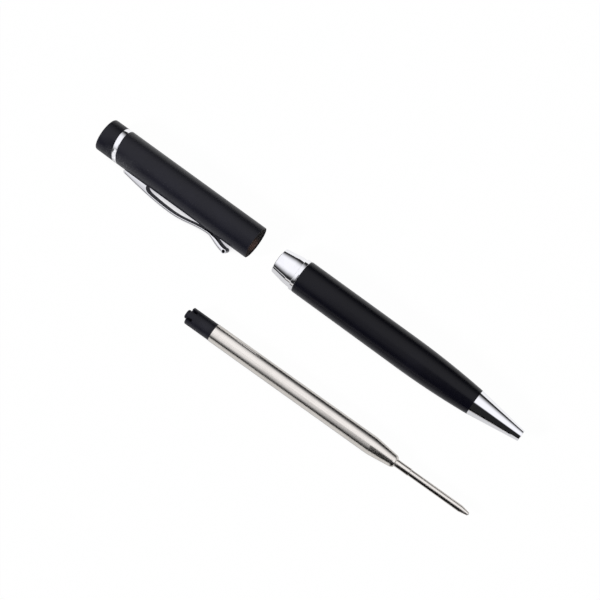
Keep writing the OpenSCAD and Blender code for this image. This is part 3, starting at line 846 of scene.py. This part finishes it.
def makeNose():
    size = noseSize
    edge, hole, holeEdge, steps = size["tipEdge"], size["hole"], size["holeEdge"], size["steps"]
    spigotEnd, tip = endsOf("nose_cone")
    spigot = lowerSize["guide"] - fitGap
    holeEnd = tip - size["holeLong"]
    coneSlope = (size["base"] - size["tip"]) / (tip - barrelFront)
    profile = [(spigotEnd, size["spring"]), (spigotEnd, spigot)]
    profile += [(barrelFront, spigot), (barrelFront, size["base"])]
    for step in range(1, steps + 1):
        along = (tip - edge - barrelFront) * step / steps
        profile.append((barrelFront + along, size["base"] - coneSlope * along))
    profile += [(tip, size["tip"] - edge), (tip, hole + holeEdge), (tip - holeEdge, hole), (holeEnd, hole)]
    profile += [(holeEnd - size["funnel"], size["spring"]), (spigotEnd, size["spring"])]
    nose = turnPiece("noseCone", profile)
    placeOnPen(nose)
    dressPiece(nose, "nose_cone", "lower_half", turnedChrome)


makeLowerTube()
makeCoupling()
makeMiddleRing()
makeNose()

# return spring inside the nose

coilSize = {"wire": 0.35, "radius": 1.455, "turns": 10, "sides": 10, "steps": 24}


def makeCoil():
    size = coilSize
    low, high = endsOf("return_spring")
    length = high - low - size["wire"]
    steps = size["turns"] * size["steps"]
    bpy.ops.object.select_all(action="DESELECT")
    bpy.ops.mesh.primitive_circle_add(vertices=size["sides"], radius=size["wire"] / 2 * mm,
                                      location=((low + size["wire"] / 2) * mm, size["radius"] * mm, 0))
    coil = bpy.context.object
    coil.name = "returnCoil"
    bpy.ops.object.transform_apply(location=True, rotation=True, scale=True)
    useModifier(coil, "SCREW", axis="X", angle=2 * math.pi * size["turns"], screw_offset=length * mm,
                steps=steps, render_steps=steps, use_merge_vertices=False)
    bpy.ops.object.mode_set(mode="EDIT")
    bpy.ops.mesh.select_all(action="SELECT")
    bpy.ops.mesh.fill_holes(sides=0)
    faceOutwards()
    bpy.ops.object.mode_set(mode="OBJECT")
    putInPlace(coil, penPlace, (0, 0, 0))
    dressPiece(coil, "return_spring", "lower_half", brightSteel)


makeCoil()

# refill, with places from its rear end; a ring in the middle of a tube keeps its shading even

refillSize = {"length": 98.1, "ball": 0.4, "radius": 2.8, "wall": 0.2, "plug": 9.6, "rim": 0.06,
              "middle": 36.0, "taperStart": 65.1, "bend": ((-0.4, 0.0), (0.2, 0.012), (0.7, 0.075)),
              "neckAt": 71.9, "neck": 2.0, "neckBend": (0.25, 0.03), "shoulder": 1.4, "shoulderSteps": 12,
              "tuck": 0.3, "holder": 1.15, "holderEnd": 78.1, "tip": 1.025, "socketAt": 95.3}
ballAt = refillSize["length"] - refillSize["ball"]
refillRear = Vector(joints["ball_roll"]["pos_m"]) - refillWay * ballAt * mm


def placeOnRefill(piece, roll=0.0):
    putInPlace(piece, refillRear, (roll, 0, refillYaw))


def makeRefillTube():
    size = refillSize
    radius, plug, neck, neckAt = size["radius"], size["plug"], size["neck"], size["neckAt"]
    inner, rim = radius - size["wall"], size["rim"]
    throat = size["holder"] + fitGap
    steps = size["shoulderSteps"]
    profile = [(plug, inner), (plug, radius - rim), (plug + rim, radius), (size["middle"], radius)]
    profile += [(size["taperStart"] + along, radius - drop) for along, drop in size["bend"]]
    profile += [(neckAt - size["neckBend"][0], neck + size["neckBend"][1]), (neckAt, neck)]
    for step in range(1, steps + 1):
        angle = math.pi / 2 * step / steps
        along = size["shoulder"] * math.sin(angle)
        profile.append((neckAt + along, throat + (neck - throat) * math.cos(angle)))
    profile += [(neckAt + size["tuck"], throat), (neckAt, neck - size["wall"])]
    profile += [(size["taperStart"], inner), (plug, inner)]
    tube = turnPiece("refillTube", profile)
    placeOnRefill(tube)
    dressPiece(tube, "refill_tube", "refill", drawnNickel)


plugSize = {"radius": 2.71, "edge": 0.12, "edgeSteps": 4, "boss": 1.4, "bossLong": 1.05, "bossEdge": 0.2,
            "stem": 5.0, "notches": 6, "notchWide": 0.95, "notchDeep": 1.9, "cutterLong": 4.0,
            "cutterOut": 1.0, "turn": 30.0, "sides": 96}


def makeRefillPlug():
    size = plugSize
    radius, edge, boss, crown = size["radius"], size["edge"], size["boss"], size["bossLong"]
    inner = refillSize["radius"] - refillSize["wall"] - fitGap
    end = refillSize["plug"] - fitGap
    notchEnd = crown + size["notchDeep"]
    profile = [(0.0, boss - size["bossEdge"]), (size["bossEdge"], boss), (crown, boss)]
    profile += arcPoints(crown + edge, radius - edge, edge, 180, 90, size["edgeSteps"])
    profile += [(notchEnd + edge, radius), (end, radius), (end, inner)]
    profile += [(refillSize["plug"] + size["stem"], inner)]
    plug = turnPiece("refillPlug", profile, sides=size["sides"], filled=True)
    high = radius + size["cutterOut"] - boss
    out = (boss + high / 2) * mm
    for number in range(size["notches"]):
        turn = 2 * math.pi * number / size["notches"]
        middle = ((notchEnd - size["cutterLong"] / 2) * mm, -math.sin(turn) * out, math.cos(turn) * out)
        bpy.ops.object.select_all(action="DESELECT")
        bpy.ops.mesh.primitive_cube_add(size=1, location=middle, rotation=(turn, 0, 0))
        notch = bpy.context.object
        notch.scale = (size["cutterLong"] * mm, size["notchWide"] * mm, high * mm)
        bpy.ops.object.transform_apply(location=True, rotation=True, scale=True)
        useBoolean(plug, notch, "DIFFERENCE")
    mergeClose(plug)
    placeOnRefill(plug, math.radians(size["turn"]))
    dressPiece(plug, "refill_plug", "refill", plugPlastic)


tipSize = {"wall": 0.3, "edge": 0.15, "middle": 86.0, "sides": 96}


def makeTipTube():
    size, wall = refillSize, tipSize["wall"]
    start, step, end = size["neckAt"] + size["tuck"], size["holderEnd"], size["socketAt"]
    holder, tip = size["holder"], size["tip"]
    profile = [(start, holder - wall), (start, holder), (step - tipSize["edge"], holder), (step, tip)]
    profile += [(tipSize["middle"], tip), (end, tip), (end, tip - wall)]
    profile += [(step, tip - wall), (start, holder - wall)]
    tube = turnPiece("tipTube", profile, sides=tipSize["sides"])
    placeOnRefill(tube)
    dressPiece(tube, "tip_holder", "refill", turnedNickel)


socketSize = {"ballOut": 0.25, "stub": 0.7, "stubLong": 1.4, "step": 0.03, "bend": (0.1, 0.04), "front": 0.47,
              "frontEdge": 0.05, "cupDeep": 0.2, "inkDeep": 0.55, "ink": 0.2, "sides": 64}


def makeTipSocket():
    size = socketSize
    start, tip, ball = refillSize["socketAt"], refillSize["tip"], refillSize["ball"]
    end = refillSize["length"] - size["ballOut"]
    stubEnd, stub, ink = start - size["stubLong"], size["stub"], size["ink"]
    front, edge = size["front"], size["frontEdge"]
    cup = math.sqrt(ball ** 2 - (ball - size["ballOut"]) ** 2) + fitGap
    profile = [(stubEnd, stub), (start, stub), (start, tip - size["step"])]
    profile += [(start + size["bend"][0], tip - size["bend"][1]), (end - edge, front + edge), (end, front)]
    profile += [(end, cup), (end - size["cupDeep"], ball + fitGap), (end - size["inkDeep"], ink)]
    profile += [(stubEnd, ink), (stubEnd, stub)]
    socket = turnPiece("tipSocket", profile, sides=size["sides"])
    placeOnRefill(socket)
    dressPiece(socket, "ball_socket", "refill", turnedNickel)


makeRefillTube()
makeRefillPlug()
makeTipTube()
makeTipSocket()

# solids that stay as they are get their finish

keptSolids = {
    "barrel_liner": linerBrass, "top_insert": darkBrass, "twist_bush": darkBrass, "cap_screw": brightSteel,
    "keeper_ring": brightSteel, "plunger_pin": brightSteel, "writing_ball": brightSteel,
    "cam_tube": whiteAcetal, "plunger": whiteAcetal, "friction_ring": blackRubber, "ink_column": inkPaste,
}
for nodeName, finish in keptSolids.items():
    solid = frame["nodes"][nodeName]
    solid.data.materials.clear()
    solid.data.materials.append(finish)
print("kept solids dressed:", len(keptSolids))

# floor and light

floorLook = {"size": 3.0, "drop": 0.00002, "pale": (0.90, 0.90, 0.91), "tone": (0.87, 0.87, 0.885),
             "shade": (0.50, 0.49, 0.54), "crevice": (0.03, 0.03, 0.035), "near": 0.004, "nearSamples": 12,
             "cameraOpen": (0.15, 0.45), "mirrorOpen": (0.4, 0.85), "cameraWhite": 0.985, "mirrorShare": 0.9,
             "mirrorFront": (0.66, 0.66, 0.67), "mirrorBack": (0.95, 0.95, 0.96), "mirrorBlend": 0.005}


def makeFloor():
    look = floorLook
    bpy.ops.object.select_all(action="DESELECT")
    bpy.ops.mesh.primitive_plane_add(size=look["size"], location=(0, 0, -look["drop"]))
    floor = bpy.context.object
    floor.name = "paleFloor"
    finish, tree, shader, place = startFinish("palePaper")
    grain = addEffect(tree, grainGroup, place, Scale=60.0)
    tree.links.new(mixColours(tree, grain, look["pale"], look["tone"]), shader.inputs["Base Color"])
    setInputs(shader, {"Roughness": 0.9, "Specular IOR Level": 0.1})
    # white to the camera and in the metal, with a narrow shade close to what lies on it
    closeBy = addNode(tree, "ShaderNodeAmbientOcclusion", samples=look["nearSamples"])
    setInputs(closeBy, {"Distance": look["near"]})
    openView = addStep(tree, closeBy.outputs["AO"], look["cameraOpen"])
    inView = mixColours(tree, openView, look["shade"], (1, 1, 1))
    # in the metal it is a little darker in front of the pen than behind it
    blend = (penLine.y - look["mirrorBlend"], penLine.y + look["mirrorBlend"])
    behind = addStep(tree, splitPlace(tree, place)[1], blend)
    mirrorTone = mixColours(tree, behind, look["mirrorFront"], look["mirrorBack"])
    openMirror = addStep(tree, closeBy.outputs["AO"], look["mirrorOpen"])
    inMirror = mixColours(tree, openMirror, look["crevice"], mirrorTone)
    path = addNode(tree, "ShaderNodeLightPath")
    toCamera = path.outputs["Is Camera Ray"]
    glow = addNode(tree, "ShaderNodeEmission")
    tree.links.new(mixColours(tree, toCamera, inMirror, inView), glow.inputs["Color"])
    mirrored = addMath(tree, "MAXIMUM", path.outputs["Is Glossy Ray"], path.outputs["Is Transmission Ray"])
    inMetal = addMath(tree, "MULTIPLY", mirrored, look["mirrorShare"])
    share = addMath(tree, "MULTIPLY_ADD", toCamera, look["cameraWhite"], inMetal)
    mixed = mixShaders(tree, share, shader.outputs["BSDF"], glow.outputs["Emission"])
    tree.links.new(mixed, tree.nodes["Material Output"].inputs["Surface"])
    floor.data.materials.append(finish)


# cards that show only in reflections, as in a product studio, in mm:
# dark beside the refill's tip, white before the ring
cards = {
    "tip": {"from": 50.0, "to": 77.0, "out": -32.3, "high": 12.0, "glow": 0.0,
            "tones": ((0.010, 0.010, 0.012), (0.022, 0.022, 0.025))},
    "ring": {"from": -72.0, "to": -66.0, "out": -12.0, "high": 15.0, "glow": 0.62,
             "tones": ((0.86, 0.86, 0.87), (0.92, 0.92, 0.93))},
}


def makeCard(name, size):
    finish, tree, shader, place = startFinish(name)
    grain = addEffect(tree, grainGroup, place, Scale=1500.0)
    tone = mixColours(tree, grain, *size["tones"])
    tree.links.new(tone, shader.inputs["Base Color"])
    tree.links.new(tone, shader.inputs["Emission Color"])
    setInputs(shader, {"Emission Strength": size["glow"], "Roughness": 0.95, "Specular IOR Level": 0.0})
    middle = ((size["from"] + size["to"]) / 2 * mm, penLine.y + size["out"] * mm, size["high"] / 2 * mm)
    bpy.ops.object.select_all(action="DESELECT")
    bpy.ops.mesh.primitive_plane_add(size=1, rotation=(math.pi / 2, 0, 0), location=middle)
    card = bpy.context.object
    card.name = name
    card.scale = ((size["to"] - size["from"]) * mm, size["high"] * mm, 1)
    bpy.ops.object.transform_apply(location=True, rotation=True, scale=True)
    card.visible_camera = False
    card.visible_diffuse = False
    card.visible_shadow = False
    card.visible_transmission = False
    card.data.materials.append(finish)


# white overhead, coming lower at both ends, dark round the horizon, and a dark corner before the writing end
# each span is along the unit direction that is looked in
studio = {"overhead": 1.07, "low": 0.022, "rise": (0.33, 1.0), "ends": 0.45, "corner": 0.018,
          "cornerStart": (-0.12, 0.0), "cornerEnd": (0.5, 0.3), "cornerSide": (-0.10, -0.38),
          "tone": (0.96, 0.96, 1.0), "around": 0.20, "aroundTone": (0.96, 0.97, 1.0)}


def addSky(tree, tone, strength=1.0):
    sky = addNode(tree, "ShaderNodeBackground")
    setInputs(sky, {"Color": (*tone, 1), "Strength": strength})
    return sky


def makeStudio():
    world = bpy.data.worlds.new("softStudio")
    bpy.context.scene.world = world
    world.use_nodes = True
    tree = world.node_tree
    tree.nodes.clear()
    coords = addNode(tree, "ShaderNodeTexCoord")
    along, across, high = splitPlace(tree, coords.outputs["Generated"])
    height = addMath(tree, "MULTIPLY_ADD", addMath(tree, "ABSOLUTE", along), studio["ends"], high)
    white = addStep(tree, height, studio["rise"], (studio["low"], studio["overhead"]))
    fromStart = addStep(tree, along, studio["cornerStart"])
    toEnd = addStep(tree, along, studio["cornerEnd"])
    atSide = addStep(tree, across, studio["cornerSide"])
    corner = addMath(tree, "MULTIPLY", addMath(tree, "MULTIPLY", fromStart, toEnd), atSide)
    shaded = addMath(tree, "MULTIPLY", white, addStep(tree, corner, (0.0, 1.0), (1.0, studio["corner"])))
    # what is mirrored, what lights the matt surfaces evenly, and the white that the camera sees
    mirrored = addSky(tree, studio["tone"])
    tree.links.new(addMath(tree, "MAXIMUM", shaded, studio["corner"]), mirrored.inputs["Strength"])
    even = addSky(tree, studio["aroundTone"], studio["around"])
    paper = addSky(tree, (1, 1, 1))
    path = addNode(tree, "ShaderNodeLightPath")
    lit = mixShaders(tree, path.outputs["Is Diffuse Ray"], mirrored.outputs[0], even.outputs[0])
    seen = mixShaders(tree, path.outputs["Is Camera Ray"], lit, paper.outputs[0])
    tree.links.new(seen, addNode(tree, "ShaderNodeOutputWorld").inputs["Surface"])


keyLamp = {"strength": 4.3, "spread": 12.0, "elevation": 35.0, "azimuth": -35.0}


def makeKey():
    way = wayTo(keyLamp["azimuth"], keyLamp["elevation"])
    bpy.ops.object.light_add(type="SUN", location=way)
    lamp = bpy.context.object
    lamp.name = "softKey"
    lamp.rotation_euler = (-way).to_track_quat("-Z", "Y").to_euler()
    lamp.data.energy = keyLamp["strength"]
    lamp.data.angle = math.radians(keyLamp["spread"])
    lamp.visible_glossy = False


makeFloor()
for cardName, cardSize in cards.items():
    makeCard(cardName + "Card", cardSize)
makeStudio()
makeKey()
print("floor and light set")

bpy.ops.object.select_all(action="DESELECT")
